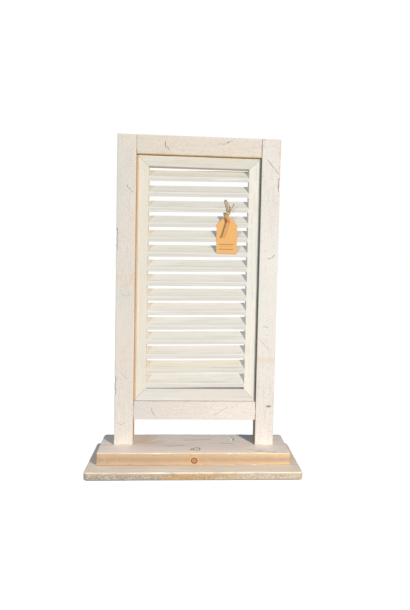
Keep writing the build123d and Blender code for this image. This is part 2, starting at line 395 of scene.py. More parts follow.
# The foot's upper board
# A narrower pine board is glued on the first. Its top has the same thin wash. Its front edge is raw
# orange pine with a knot, wiped with wash along the middle and worn white along its top arris.
PLINTH_FRONT_CORNER = 3 * MM
PLINTH_BACK_CORNER = 8 * MM
PLINTH_ARRIS = 1.5 * MM
PLINTH_STEPS = (4 * MM, 5 * MM, 5 * MM)
ORANGE_PINE = tint(208, 176, 139)
BAND_WASH = tint(184, 157, 131)
PLINTH_WASH = (222, 216, 210)
PLINTH_PITH = Vector((0, -26, -30)) * MM
SIDE_PITH = Vector((0, 40, -20)) * MM
PLINTH_FRONT = -50
PLINTH_TOP = 43
EYE_AT = Vector((0.6, -26, PLINTH_TOP)) * MM
EYE_REACH = 13 * MM
KNOT_AT = Vector((0, PLINTH_FRONT, 27)) * MM
KNOT_REACH = 6.8 * MM
FRONT_PAINTED_LIGHT = tint(226, 215, 203)
POST_SHADOW_TAN = tint(209, 188, 168)
EYE_LINE = tint(134, 112, 92)
EYE_STAIN = tint(205, 178, 148)
EYE_GRAIN = tint(112, 84, 64)
SCRATCH = tint(250, 243, 232)
DIRTY_STREAK = tint(184, 175, 167)
HOOK_LIGHT = tint(250, 246, 240)
HOOK_SHADE = tint(104, 96, 92)
PALE_PINE = tint(224, 192, 152)
LATE_WOOD = tint(214, 160, 108)
BROWN_FIBRE = tint(176, 138, 108)
WASH_SPECK = tint(232, 218, 202)
KNOT_GLOW = tint(226, 178, 124)
KNOT_RIM = tint(134, 84, 58)
KNOT_HEART = tint(186, 138, 104)
KNOT_RING = tint(150, 96, 68)
RUBBED_PINE = tint(216, 194, 164)
RUBBED_CREAM = tint(238, 224, 200)


def front_upright(start, end):
    return upright(start, end) and start.y < 0


def back_upright(start, end):
    return upright(start, end) and start.y > 0


def level(start, end):
    """True for the edges round the top and round the bottom, and not for those that join them."""
    return not upright(start, end)


def top_mark(coat, points, width, colour, depth=0.0, fray=2.5):
    """A mark on the board's top, its points given by x and y, and all of it in millimetres."""
    mark(coat, [(x, y, PLINTH_TOP) for x, y in points], width * MM, colour, depth * MM, fray)


plinth_low, plinth_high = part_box("plinth_board")
plinth = squared_block("plinth_board_worn", "plinth_board")
round_edges(plinth, front_upright, PLINTH_FRONT_CORNER, 3)
round_edges(plinth, lambda a, b: back_upright(a, b) and a.y > plinth_high.y - MM, PLINTH_BACK_CORNER, 6)
round_edges(plinth, level, PLINTH_ARRIS, 3)
cut_across(plinth_low, plinth_high, PLINTH_STEPS)
wear(plinth, plinth_low, plinth_high, FOOT_ARRIS_WEAR, FACE_WEAR)
knock(plinth, (80, PLINTH_FRONT, 42), 9, (0, 0.8, -0.8))
knock(plinth, (94.3, PLINTH_FRONT, 33.8), 4, (0, 0.8, 0))
set_in(plinth, "plinth_board")

plinth_coat = grey_wash("plinth_board_wash", PLINTH_WASH, PLINTH_PITH)
# Painted light: the top is lighter in front of the frame, and the part under the frame stays darker as painted
# shade.
near_front = plinth_coat.y + plinth_coat.place.clouds(20 * MM, (0.2, 1, 1)) * (8 * MM)
plinth_coat.layer(near_front.step(-1 * MM, -6 * MM) * 0.6, FRONT_PAINTED_LIGHT)
# Painted shadow: a warm tan patch right of the left post, where the post shades the top from the bluer left
# lamp.
plinth_coat.layer(plinth_coat.x.near(-103 * MM, 46 * MM) * plinth_coat.y.step(0.0, 16 * MM) * 0.7, POST_SHADOW_TAN)
eye_edge = plinth_coat.place.gap_to_point(EYE_AT) + plinth_coat.place.clouds(8 * MM) * (3 * MM)
plinth_coat.layer(eye_edge.near(EYE_REACH, 1.7 * MM) * plinth_coat.x.step(-6 * MM, 9 * MM), EYE_LINE)
plinth_coat.layer(eye_edge.step(EYE_REACH, 8 * MM) * 0.4, EYE_STAIN)
for points, width in (
    (((-7, -29), (-4, -26)), 3.4),
    (((-1, -31), (-1.5, -24)), 2.0),
    (((4, -19), (7, -20)), 1.4),
    (((11, -20), (11.5, -29)), 1.2),
):
    top_mark(plinth_coat, points, width, EYE_GRAIN, 0.2)
for points, width in (
    (((-122, 3), (-103, 12), (-84, 31)), 1.5),
    (((-83, 28), (-79, 40), (-75, 55)), 1.4),
    (((-63, 12), (-54, 22), (-44, 35)), 0.9),
):
    top_mark(plinth_coat, points, width, SCRATCH, 0.1)
for points in (((112, -30), (150, -36)), ((128, -40), (170, -43)), ((150, -46), (197, -48)), ((60, 10), (88, 6)),
               ((-60, -8), (-20, -4)), ((-20, 30), (36, 34))):
    top_mark(plinth_coat, points, 3.4, DIRTY_STREAK, fray=9)
top_mark(plinth_coat, ((78, 50), (85, 40), (82.5, 26)), 2.6, HOOK_LIGHT)
top_mark(plinth_coat, ((83, 50), (89.5, 40), (87, 28)), 2.0, HOOK_SHADE, 0.4)
ragged = plinth_coat.place.clouds(9 * MM, (0.3, 1, 1), 3.0)
below_top = plinth_high.z - plinth_coat.z
side = (below_top + (ragged - 0.5) * (2.6 * MM)).step(1.0 * MM, 1.9 * MM)
plinth_coat.layer(side, ORANGE_PINE, roughness=0.65)
plinth_coat.layer(side * plinth_coat.x.step(40 * MM, 180 * MM) * 0.6, PALE_PINE)
side_rings = growth_rings(plinth_coat, "x", SIDE_PITH, ring=3.2 * MM, waver=7 * MM)
plinth_coat.layer(side * side_rings * 0.35, LATE_WOOD)
band_edge = plinth_coat.z + (ragged - 0.5) * (7 * MM)
band = side * band_edge.near(28.5 * MM, 9.5 * MM)
plinth_coat.layer(band, BAND_WASH, roughness=0.75)
fibres = plinth_coat.place.clouds(1.6 * MM, (0.12, 1, 1), 3.0)
plinth_coat.layer(side * fibres.step(0.5, 0.8) * 0.4, BROWN_FIBRE, height=-0.06 * MM)
plinth_coat.layer(side * band_edge.near(27 * MM, 8 * MM) * plinth_coat.place.specks(4 * MM, 1.0 * MM, 0.45) *
                  plinth_coat.x.step(-100 * MM, -125 * MM).most(0.35), WASH_SPECK)
from_knot = plinth_coat.place.vector("SUBTRACT", KNOT_AT).vector("MULTIPLY", (1, 0.5, 1.1))
knot_gap = from_knot.length() + (ragged - 0.5) * (1.5 * MM)
plinth_coat.layer(knot_gap.step(KNOT_REACH + 5 * MM, KNOT_REACH) * 0.6, KNOT_GLOW)
plinth_coat.layer(knot_gap.step(KNOT_REACH + 0.6 * MM, KNOT_REACH), KNOT_RIM)
plinth_coat.layer(knot_gap.step(KNOT_REACH - 1.4 * MM, KNOT_REACH - 2.6 * MM), KNOT_HEART)
plinth_coat.layer(knot_gap.near(2.2 * MM, 0.9 * MM) * 0.6, KNOT_RING, height=-0.1 * MM)
for points, width, colour in (
    (((-8.5, 37.8), (-7, 37)), 1.3, (160, 104, 64)),
    (((94, 33.8), (95, 33.8)), 0.9, (84, 60, 48)),
    (((12.6, 17.6), (14, 16.9)), 1.9, (250, 244, 230)),
    (((145, 20.5), (146, 18.5)), 0.8, (250, 244, 230)),
    (((-195, 33), (-193, 31)), 0.9, (150, 120, 96)),
    (((-86, 39.2), (-68, 39.0)), 0.9, (132, 116, 102)),
    (((71, 39.4), (82, 38.6), (94, 39.6)), 0.9, (150, 130, 112)),
    (((-85, 41.2), (-69, 41.2)), 1.3, (250, 244, 232)),
    (((70, 41.4), (82, 40.8), (94, 41.4)), 1.5, (250, 244, 232)),
):
    front_mark(plinth_coat, PLINTH_FRONT, points, width, tint(*colour))
bottom_wear = plinth_coat.z.step(20 * MM, 18.2 * MM) * ragged.step(0.5, 0.6)
plinth_coat.layer(bottom_wear * plinth_coat.x.step(20 * MM, 110 * MM), WORN_PRIMER)
at_arris = below_top.near(0.9 * MM, 1.3 * MM) * arris_gap(
    plinth_coat, plinth_low, plinth_high).step(3.0 * MM, 1.6 * MM)
plinth_coat.layer(at_arris * 0.7, RUBBED_PINE)
plinth_coat.layer(at_arris * ragged.step(0.45, 0.6), RUBBED_CREAM, roughness=0.6)
plinth_coat.put_on(plinth)

# The frame's two posts
# Square pine posts stand on the foot, glued and screwed from below. They were brushed with two thin coats
# of cream-white, then knocked, scratched and rubbed along the arrises to look old.
POST_ARRIS = 1.5 * MM
POST_STEPS = (6 * MM, 6 * MM, 3.5 * MM)
POST_FRONT = -1
FRAME_ARRIS_WEAR = 0.45 * MM
SPOTS_AT = Vector((-150, POST_FRONT, 538)) * MM
# The right post's cream is painted lighter than the left's: painted light that grows towards the right, where
# the lamp stands.
LEFT_CREAM_AND_SHADE = (229, 220, 208)
RIGHT_CREAM_AND_LIGHT = (239, 230, 219)
COOLER = (-6, -3, -2)
PINKER = (3, -3, -4)
ARRIS_LIGHT = tint(242, 232, 214)
DARK_SCAR = tint(122, 108, 96)
FAINT_SCAR = tint(178, 168, 156)
BROWN_CHIP = tint(186, 142, 110)
RAW_TAN = tint(208, 170, 128)
GRAIN_SHADE = tint(202, 188, 168)
GRAIN_LIGHT = tint(246, 241, 232)
GRIT_SHADE = tint(194, 184, 172)
GRIT_LIGHT = tint(248, 242, 234)
PINHOLE = tint(150, 138, 126)
RUBBED_TAN = tint(214, 186, 148)
CHIP_GREY = tint(112, 106, 102)
INNER_TAN = tint(218, 190, 156)
PEACH_STAIN = tint(232, 198, 164)
PALE_STAIN = tint(240, 220, 204)
SUNLIT_CREAM = tint(250, 241, 230)
BROWN_SCAR = tint(150, 132, 112)
ROSY_STAIN = tint(238, 208, 184)
INNER_WOOD_IN_SHADE = tint(168, 148, 122)
DARK_CHIP = tint(132, 110, 88)
RUST_DOT = tint(214, 150, 96)
EDGE_TAN = tint(236, 204, 162)
CORNER_TAN = tint(196, 166, 132)


def whitewash(name, low, high, along, seed, cream, other=PINKER, rough=1.0, far=None):
    """Thin cream paint on pine: soft patches, the grain and brush marks along the piece, fine specks."""
    coat = Coat(name, tint(*cream))
    drawn = drawn_out(along, 0.06)
    for shift, feature, rim, offset in ((COOLER, 60 * MM, 0.4, 0.0), (other, 75 * MM, 0.45, 9.0)):
        patches = coat.place.clouds(feature, drawn_out(along, 0.5), 3.0, seed + offset)
        coat.layer(patches.step(rim, rim + 0.25), tint(*[a + b for a, b in zip(cream, shift)]))
    # Painted light: the far colour is laid on more towards the right-hand end, so the piece grows lighter to the
    # right.
    if far:
        coat.layer(coat.x.step(-120 * MM, 130 * MM) * 0.85, tint(*far))
    grain = coat.place.clouds(3 * MM, drawn, 3.0, seed)
    coat.layer(grain.step(0.5, 0.78) * 0.32, GRAIN_SHADE, height=-0.05 * MM)
    coat.layer(grain.step(0.45, 0.2) * 0.4, GRAIN_LIGHT)
    grit = coat.place.clouds(2.2 * MM, (1, 1, 1), 3.0, seed + 3)
    coat.layer(grit.step(0.5, 0.75) * (0.6 * rough), GRIT_SHADE, height=-0.06 * MM)
    coat.layer(grit.step(0.42, 0.25) * (0.5 * rough), GRIT_LIGHT)
    coat.layer(coat.place.specks(4.5 * MM, 0.6 * MM, 0.25) * (0.7 * rough), PINHOLE, height=-0.08 * MM)
    edge = arris_gap(coat, low, high) + (coat.place.clouds(12 * MM, drawn, 2.0, seed) - 0.5) * (2 * MM)
    coat.layer(edge.step(1.6 * MM, 0.8 * MM) * 0.6, ARRIS_LIGHT, roughness=0.65)
    coat.layer(edge.step(0.5 * MM, 0.1 * MM) * 0.4, RUBBED_TAN)
    return coat


def frame_timber(node, steps):
    """One of the frame's four timbers, squared, its arrises eased and worn, with its node's corners."""
    low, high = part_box(node)
    timber = squared_block(node + "_worn", node)
    round_edges(timber, lambda a, b: True, POST_ARRIS, 3)
    cut_across(low, high, steps)
    wear(timber, low, high, FRAME_ARRIS_WEAR, FACE_WEAR)
    return timber, low, high


left_post, left_low, left_high = frame_timber("left_post", POST_STEPS)
for z in (495, 478, 462, 182, 160):
    knock(left_post, (-171.5, POST_FRONT, z), 11, (1.3, 0.9, 0))
set_in(left_post, "left_post")
left_coat = whitewash("left_post_whitewash", left_low, left_high, "z", seed=1.0, cream=LEFT_CREAM_AND_SHADE)
for points, width, colour, depth in (
    (((-151, 595), (-147, 588), (-139, 581)), 0.7, DARK_SCAR, 0.4),
    (((-158, 366), (-150, 362), (-141, 366)), 0.8, FAINT_SCAR, 0.3),
    (((-158, 198), (-145, 186)), 0.7, FAINT_SCAR, 0.3),
    (((-166, 92), (-157, 86.5), (-148, 92)), 0.8, FAINT_SCAR, 0.3),
):
    front_mark(left_coat, POST_FRONT, points, width, colour, depth)
for top, bottom in ((503, 458), (190, 154)):
    front_mark(left_coat, 0.2, ((-170.5, top), (-170.5, bottom)), 3.0, CHIP_GREY, 0.2, 7)
front_mark(left_coat, POST_FRONT, ((-131.7, 400), (-131.7, 328)), 1.5, RAW_TAN, fray=9)
left_coat.layer((left_high.x - left_coat.x).step(0.8 * MM, 0.3 * MM), INNER_TAN)
stained = left_coat.z + (left_coat.place.clouds(22 * MM, (0.6, 1, 1)) - 0.5) * (50 * MM)
mottled = stained.near(398 * MM, 34 * MM) * left_coat.place.clouds(9 * MM, (1, 1, 0.5), 3.0).step(0.4, 0.65)
left_coat.layer(mottled * 0.5, PEACH_STAIN)
left_coat.layer(stained.near(300 * MM, 90 * MM) * 0.3, PALE_STAIN)
spotted = left_coat.place.gap_to_point(SPOTS_AT)
left_coat.layer(spotted.step(24 * MM, 10 * MM) * left_coat.place.specks(4 * MM, 1.0 * MM, 0.5) * 0.7, DARK_SCAR)
left_coat.put_on(left_post)

right_post, right_low, right_high = frame_timber("right_post", POST_STEPS)
for z in (612, 603, 594):
    knock(right_post, (171.5, POST_FRONT, z), 9, (-1.6, 1.0, 0))
knock(right_post, (161, POST_FRONT, 128), 6, (0, 0.9, 0))
set_in(right_post, "right_post")
right_coat = whitewash("right_post_whitewash", right_low, right_high, "z", seed=21.0, cream=RIGHT_CREAM_AND_LIGHT)
right_coat.layer(right_coat.z.near(380 * MM, 260 * MM) * 0.4, SUNLIT_CREAM)
front_mark(right_coat, POST_FRONT, ((144, 656), (156, 642), (167, 628)), 0.8, DARK_SCAR, 0.4)
front_mark(right_coat, POST_FRONT, ((150, 447), (159, 450), (164, 456)), 1.0, BROWN_SCAR, 0.4)
front_mark(right_coat, POST_FRONT, ((145, 303), (154, 299)), 1.1, FAINT_SCAR, 0.3)
stained = right_coat.z + (right_coat.place.clouds(16 * MM, (0.4, 1, 1)) - 0.5) * (16 * MM)
right_coat.layer(stained.near(229 * MM, 11 * MM) * 0.5, ROSY_STAIN)
# The inner side is bare wood, painted darker as painted shade: it faces away from the lamp.
right_coat.layer((right_coat.x - right_low.x).step(1.0 * MM, 0.4 * MM), INNER_WOOD_IN_SHADE)
front_mark(right_coat, POST_FRONT, ((138, 273), (148, 262), (158, 251)), 0.6, FAINT_SCAR, 0.3)
front_mark(right_coat, -0.4, ((156, 128.5), (160, 127.5), (164, 128.5)), 3.6, DARK_CHIP, 0.5)
front_mark(right_coat, POST_FRONT, ((166, 293), (166.6, 292)), 1.0, RUST_DOT)
front_mark(right_coat, 0.4, ((169.8, 616), (169.8, 592)), 4.6, BROWN_CHIP, 0.2, 9)
front_mark(right_coat, POST_FRONT, ((170.6, 700), (170.6, 620)), 2.6, EDGE_TAN, fray=9)
front_mark(right_coat, POST_FRONT, ((133, 699.5), (137, 698)), 2.4, CORNER_TAN)
right_coat.put_on(right_post)

# The frame's two rails
# The rails are cut from the same timber as the posts and butted between them, the upper flush with
# their tops. The joints are filled with paint, and the rubbed arrises show beside them as fine lines.
RAIL_STEPS = (3.5 * MM, 6 * MM, 6 * MM)
# Each rail's last colour is painted light: it lightens the rail towards its right-hand end.
RAIL_COATS = {"top_rail": (41.0, (228, 217, 201), (238, 222, 206)),
              "bottom_rail": (61.0, (226, 215, 206), (246, 232, 220))}
RAIL_MARKS = {
    "top_rail": (
        (((-72, 686), (-72.5, 678), (-70, 671)), 1.1, (112, 106, 100), 0.4),
        (((-69, 678), (-65, 672), (-64, 668)), 1.0, (196, 140, 100), 0.3),
        (((36, 684), (48, 688)), 0.8, (196, 188, 178), 0.3),
        (((48, 684), (57, 689), (66, 692.5)), 2.4, (200, 192, 182), 0.0),
        (((57, 688.6), (60, 690)), 2.6, (160, 156, 154), 0.0),
        (((70, 686), (79, 684)), 4.0, (238, 212, 180), 0.0),
        (((60, 672), (70, 668)), 5.0, (236, 212, 188), 0.0),
        (((20, 668), (32, 665)), 5.0, (238, 212, 192), 0.0),
    ),
    "bottom_rail": (
        (((-92.5, 124), (-91.5, 116), (-86, 108)), 0.9, (132, 112, 92), 0.4),
        (((40, 108), (54, 116), (68, 125)), 0.6, (178, 168, 156), 0.3),
    ),
}
JOINT_BROWN = tint(166, 136, 108)
UNDERSIDE_WOOD_AND_BOUNCE = tint(250, 218, 160)
RAIL_ARRIS = {"top_rail": (661, 0.7, (204, 164, 112)), "bottom_rail": (137.4, 0.6, (206, 164, 124))}

for node, (seed, cream, far) in RAIL_COATS.items():
    rail, low, high = frame_timber(node, RAIL_STEPS)
    set_in(rail, node)
    rail_coat = whitewash(node + "_whitewash", low, high, "x", seed, cream, far=far)
    to_post = (rail_coat.x - low.x).least(high.x - rail_coat.x)
    in_joint = to_post.step(1.5 * MM, 0.7 * MM)
    rail_coat.layer(in_joint * rail_coat.place.clouds(14 * MM).step(0.38, 0.5), JOINT_BROWN)
    for points, width, shade, depth in RAIL_MARKS[node]:
        front_mark(rail_coat, POST_FRONT, points, width, tint(*shade), depth)
    # The rail's underside: bare wood, and a painted warm bounce light in the shade under the rail.
    if node == "top_rail":
        rail_coat.layer((rail_coat.z - low.z).step(1.0 * MM, 0.4 * MM), UNDERSIDE_WOOD_AND_BOUNCE)
    height, width, shade = RAIL_ARRIS[node]
    front_mark(rail_coat, POST_FRONT, ((-131, height), (131, height)), width, tint(*shade), fray=16)
    rail_coat.put_on(rail)

# The louvre panel's four strips
# Thin strips of planed pine are mitred at the corners and glued. The stiles are housed on the inside for
# the slats. The whole panel is sprayed a yellower cream than the frame round it.
# The right stile's cream is painted lighter than the left's: painted light from the right. The head's and sill's
# creams are their own.
STRIP_CREAMS = {"left_stile": (236, 225, 208), "right_stile": (246, 238, 226), "panel_head": (226, 218, 206),
                "panel_sill": (229, 222, 214)}
YELLOWER = (2, -1, -7)
STRIP_ROUGH = 0.4
MITRE_SHADE = tint(170, 160, 146)
BRUSH_SHADE = tint(208, 202, 188)
HEAD_BOUNCE_GOLD = tint(236, 204, 156)
LEFT_SHADOW_TAN = tint(222, 202, 176)
LEFT_SHADOW_BROWN = tint(210, 184, 152)
RIGHT_SHADOW_GREY = tint(186, 182, 176)
RIGHT_SHADOW_BROWN = tint(136, 122, 104)

stile_low, stile_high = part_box("right_stile")
head_low, sill_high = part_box("panel_head")[0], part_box("panel_sill")[1]
mitres = [((stile_high.x, stile_high.z), (stile_low.x, head_low.z)),
          ((stile_high.x, stile_low.z), (stile_low.x, sill_high.z))]
for node, cream in STRIP_CREAMS.items():
    low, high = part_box(node)
    along = "z" if node.endswith("stile") else "x"
    strip_coat = whitewash(node + "_paint", low, high, along, low.x * 100 + low.z * 10, cream, YELLOWER,
                           rough=STRIP_ROUGH)
    brush = strip_coat.place.clouds(5 * MM, drawn_out(along, 0.06), 2.0)
    strip_coat.layer(brush.step(0.5, 0.75) * 0.25, BRUSH_SHADE)
    for side in (-1, 1):
        for outer, inner in mitres:
            ends = [Vector((side * x, low.y, z)) for x, z in (outer, inner)]
            strip_coat.layer(strip_coat.place.gap_to_line(*ends).step(0.55 * MM, 0.2 * MM) * 0.8, MITRE_SHADE)
    # The head's top lies in the rail's shadow and is painted warm gold as painted bounce light.
    if node == "panel_head":
        strip_coat.layer((high.z - strip_coat.z).step(2.6 * MM, 1.8 * MM) * 0.7, HEAD_BOUNCE_GOLD)
    # Painted shadow: a tan strip along the left stile's outer edge, where the left post shades it from the left
    # lamp, browner right against the post.
    if node == "left_stile":
        strip_coat.layer((strip_coat.x - low.x).step(5.6 * MM, 4.2 * MM) * 0.5, LEFT_SHADOW_TAN)
        strip_coat.layer((strip_coat.x - low.x).step(2.4 * MM, 1.2 * MM) * brush.step(0.25, 0.5).most(0.5),
                         LEFT_SHADOW_BROWN)
    # Painted shadow: a grey strip along the right stile's outer edge, where the right post shades it from the
    # key lamp, with a brown line of painted shade right against the post.
    if node == "right_stile":
        strip_coat.layer((high.x - strip_coat.x).step(5.2 * MM, 4.4 * MM) * 0.7, RIGHT_SHADOW_GREY)
        strip_coat.layer((high.x - strip_coat.x).step(1.8 * MM, 1.0 * MM), RIGHT_SHADOW_BROWN)
    strip_coat.put_on(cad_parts[node])

# The fifteen slats
# Thin planed boards are glued into the stiles' slanting housings, one above another. The housings were
# cut by eye: those on the right sit a little higher, and the pitch wanders. Each slat was painted
# before it went in, with long strokes, and the paint is thin on its front arris.
SLATS = sorted(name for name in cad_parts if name.startswith("slat_"))
SLAT_RISE = 17 * MM
SLAT_NOSE = 9 * MM
SLAT_TILT = 1.8 * MM
SLAT_DRIFT = (1.4, 0.5, -0.2, -0.5, 0.0, -0.3, -0.5, 0.0, 0.3, 0.8, 1.0, 1.1, 1.2, 0.6, 1.5)
SLAT_CUTS = 14
SLAT_JOG = 0.3 * MM
SLAT_GREY = tint(236, 230, 220)
SLAT_WARM = tint(239, 231, 213)
SLAT_STREAK = tint(208, 201, 189)
SLAT_ENDS_LIT_RIGHT = (tint(232, 223, 207), tint(242, 235, 223))
SLAT_LOWER = tint(245, 239, 228)
SLAT_PATCH = tint(228, 223, 211)
SLAT_NOSE_SHADE = tint(221, 213, 203)
SLAT_STROKE = tint(248, 245, 238)
SLAT_WORN = tint(244, 238, 222)
SLAT_DRIP = tint(206, 176, 130)
ODD_SLATS = ((1, 0.6, (226, 216, 198)), (5, 0.4, (240, 234, 224)), (9, 0.4, (238, 230, 214)),
             (10, 0.6, (247, 237, 226)), (13, 0.7, (247, 237, 227)), (14, 0.8, (247, 235, 214)))

slat_front, slat_back = (corner.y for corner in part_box(SLATS[0]))
slat_slope = SLAT_RISE / (slat_back - slat_front)
blade_half = stile_low.x


def above_nose(place, low):
    """How far a place on a slat is above its underside."""
    return place.z - low.z - (place.y - slat_front) * slat_slope


def new_object(name, data):
    """An object for a mesh, a curve, a lamp or a camera, linked to the scene."""
    made = bpy.data.objects.new(name, data)
    bpy.context.scene.collection.objects.link(made)
    return made


def plane_slat(node, drift):
    """A slat from its node's shape, its blade moved to where its own housings hold it."""
    low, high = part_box(node)
    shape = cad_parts[node].data.copy()
    slat = new_object(node + "_planed", shape)
    bpy.ops.object.select_all(action="DESELECT")
    slat.select_set(True)
    bpy.context.view_layer.objects.active = slat
    bpy.ops.object.mode_set(mode="EDIT")
    bpy.ops.mesh.select_all(action="SELECT")
    bpy.ops.mesh.remove_doubles(threshold=0.001 * MM)
    bpy.ops.mesh.dissolve_limited(angle_limit=math.radians(1))
    for cut in range(SLAT_CUTS + 1):
        bpy.ops.mesh.select_all(action="SELECT")
        at = (blade_half - SLAT_JOG) * (2 * cut / SLAT_CUTS - 1)
        bpy.ops.mesh.bisect(plane_co=(at, 0, 0), plane_no=(1, 0, 0))
    for at in (-blade_half, blade_half):
        bpy.ops.mesh.select_all(action="SELECT")
        bpy.ops.mesh.bisect(plane_co=(at, 0, 0), plane_no=(1, 0, 0))
    bpy.ops.object.mode_set(mode="OBJECT")
    heights = [above_nose(vertex.co, low) for vertex in shape.vertices]
    painted = shape.uv_layers.new(name="UVMap")
    for loop in shape.loops:
        painted.uv[loop.index].vector = (shape.vertices[loop.vertex_index].co.x, heights[loop.vertex_index])
    for vertex in shape.vertices:
        if abs(vertex.co.x) < blade_half - SLAT_JOG / 2:
            vertex.co.z += drift * MM + SLAT_TILT * vertex.co.x / blade_half
    bpy.ops.mesh.customdata_custom_splitnormals_clear()
    bpy.ops.object.shade_flat()
    set_in(slat, node)
    return slat


slats = [plane_slat(node, drift) for node, drift in zip(SLATS, SLAT_DRIFT)]
slat_coat = Coat("slat_paint", SLAT_GREY)
depth_in = slat_coat.y - slat_front
up_slat = slat_coat.place.node("UVMap", {"uv_map": "UVMap"}, {}).parts()[1]
slat_coat.layer(slat_coat.z.step(590 * MM, 370 * MM) * 0.8, SLAT_LOWER)
for number, share, shade in ODD_SLATS:
    below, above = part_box(SLATS[number - 1])
    this_slat = slat_coat.z.step(below.z - 2.6 * MM, below.z - 2.2 * MM) * slat_coat.z.step(
        above.z + 3.2 * MM, above.z + 2.8 * MM)
    slat_coat.layer(this_slat * share, tint(*shade))
slat_coat.layer(slat_coat.place.clouds(50 * MM, (0.4, 1, 1), 3.0).step(0.42, 0.7) * 0.3, SLAT_PATCH)
slat_coat.layer(slat_coat.place.clouds(60 * MM, (0.3, 1, 0.6), 2.0, 4.0).step(0.52, 0.75) * 0.4, SLAT_WARM)
nose = (SLAT_NOSE - up_slat).step(0.2 * MM, 0.8 * MM) * depth_in.step(0.6 * MM, 0.2 * MM)
slat_coat.layer(nose * 0.8, SLAT_NOSE_SHADE)
strokes = slat_coat.place.clouds(3.0 * MM, (0.03, 1, 1), 3.0)
slat_coat.layer(strokes.step(0.5, 0.66) * 0.3, SLAT_STREAK, height=-0.05 * MM)
slat_coat.layer(strokes.step(0.46, 0.3) * 0.5, SLAT_STROKE)
slat_coat.layer(slat_coat.place.clouds(1.8 * MM, (0.5, 1, 1)).step(0.55, 0.8) * 0.4, SLAT_STREAK)
behind_arris = depth_in.near(3.0 * MM, 1.6 * MM)
slat_coat.layer(behind_arris * slat_coat.place.clouds(20 * MM, (0.3, 1, 1)).step(0.4, 0.55) * 0.4, SLAT_STREAK)
front_arris = depth_in.most(SLAT_NOSE - up_slat)
worn = front_arris + (slat_coat.place.clouds(14 * MM, (0.3, 1, 1)) - 0.5) * (1.6 * MM)
slat_coat.layer(worn.step(2.0 * MM, 0.9 * MM) * 0.45, SLAT_WORN, roughness=0.6)
# The slat ends take the stiles' two creams, the right one painted lighter as painted light.
for side, cream in zip((-1, 1), SLAT_ENDS_LIT_RIGHT):
    slat_coat.layer((slat_coat.x * side).step(105.6 * MM, 106.2 * MM), cream)
mark(slat_coat, ((-90, 7, 585), (-88, 7, 581)), 1.0 * MM, SLAT_DRIP)
slat_coat.put_on(*slats)

# The hang tag
# A die-cut swing tag of thick kraft card, with cut shoulders and a punched hole that an orange paper
# ring strengthens. Two ruled lines and a coloured one stand where a tag is written on.
TAG_SHOULDER = (14 * MM, 15.5 * MM)
TAG_CORNER = 1.5 * MM
TAG_STEPS = (4 * MM, 4 * MM, 4 * MM)
HOLE_RADIUS = 2.4 * MM
HOLE_BELOW_TOP = 8.5 * MM
HOLE_SIDES = 28
RING_RADIUS = 4.0 * MM
RING_THICK = 0.2 * MM
KRAFT = tint(241, 184, 114)
TAG_RING = tint(248, 100, 24)
RULED = tint(108, 74, 42)
RULES = ((476.5, 15, 0.55, RULED), (472.4, 13, 0.4, TAG_RING), (466, 15, 0.55, RULED))
CARD_SHADE = tint(228, 168, 98)
CARD_LIGHT = tint(252, 206, 140)
RING_SHADE = tint(214, 84, 26)

tag_low, tag_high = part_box("hang_tag")
tag_middle = (tag_low + tag_high) / 2
hole_at = Vector((tag_middle.x, tag_middle.y, tag_high.z - HOLE_BELOW_TOP))


def punch(card, radius):
    """Cuts a round hole through an upright card at the tag's hole."""
    bpy.ops.object.select_all(action="DESELECT")
    bpy.ops.mesh.primitive_cylinder_add(vertices=HOLE_SIDES, radius=radius, depth=20 * MM, location=hole_at,
                                        rotation=(math.radians(90), 0, 0))
    tool = bpy.context.object
    bpy.context.view_layer.objects.active = card
    cut = card.modifiers.new("hole", "BOOLEAN")
    cut.object = tool
    cut.solver = "EXACT"
    bpy.ops.object.modifier_apply(modifier="hole")
    bpy.data.objects.remove(tool)


def thicken(card, thickness):
    """Gives a flat card its thickness, backwards from its face."""
    made = card.modifiers.new("thickness", "SOLIDIFY")
    made.thickness = thickness
    made.offset = -1
    bpy.ops.object.modifier_apply(modifier="thickness")


bpy.ops.object.select_all(action="DESELECT")
bpy.ops.mesh.primitive_plane_add(size=1, location=(tag_middle.x, tag_low.y, tag_middle.z),
                                 rotation=(math.radians(90), 0, 0))
tag = bpy.context.object
tag.name = "kraft_tag"
tag.scale = (tag_high.x - tag_low.x, tag_high.z - tag_low.z, 1)
bpy.ops.object.transform_apply(location=True, rotation=True, scale=True)
bpy.ops.object.mode_set(mode="EDIT")
for side in (-1, 1):
    bpy.ops.mesh.select_all(action="SELECT")
    shoulder = Vector((tag_middle.x + side * (tag_high.x - tag_low.x) / 2, 0, tag_high.z - TAG_SHOULDER[1]))
    slope = (side * TAG_SHOULDER[1], 0, TAG_SHOULDER[0])
    bpy.ops.mesh.bisect(plane_co=shoulder, plane_no=slope, clear_outer=True)
bpy.ops.mesh.select_all(action="SELECT")
bpy.ops.mesh.bevel(offset=TAG_CORNER, segments=4, affect="VERTICES")
cut_across(tag_low, tag_high, TAG_STEPS)
bpy.ops.object.mode_set(mode="OBJECT")
thicken(tag, tag_high.y - tag_low.y)
punch(tag, HOLE_RADIUS)
knock(tag, (76, 6, 456), 46, (0, -1.0, 0))
bpy.ops.object.shade_smooth_by_angle(angle=math.radians(40))

bpy.ops.object.select_all(action="DESELECT")
bpy.ops.mesh.primitive_circle_add(vertices=HOLE_SIDES, radius=RING_RADIUS, fill_type="NGON",
                                  location=(hole_at.x, tag_low.y - RING_THICK, hole_at.z),
                                  rotation=(math.radians(90), 0, 0))
ring = bpy.context.object
ring.name = "tag_ring"
bpy.ops.object.transform_apply(location=True, rotation=True, scale=True)
thicken(ring, RING_THICK)
punch(ring, HOLE_RADIUS + 0.1 * MM)

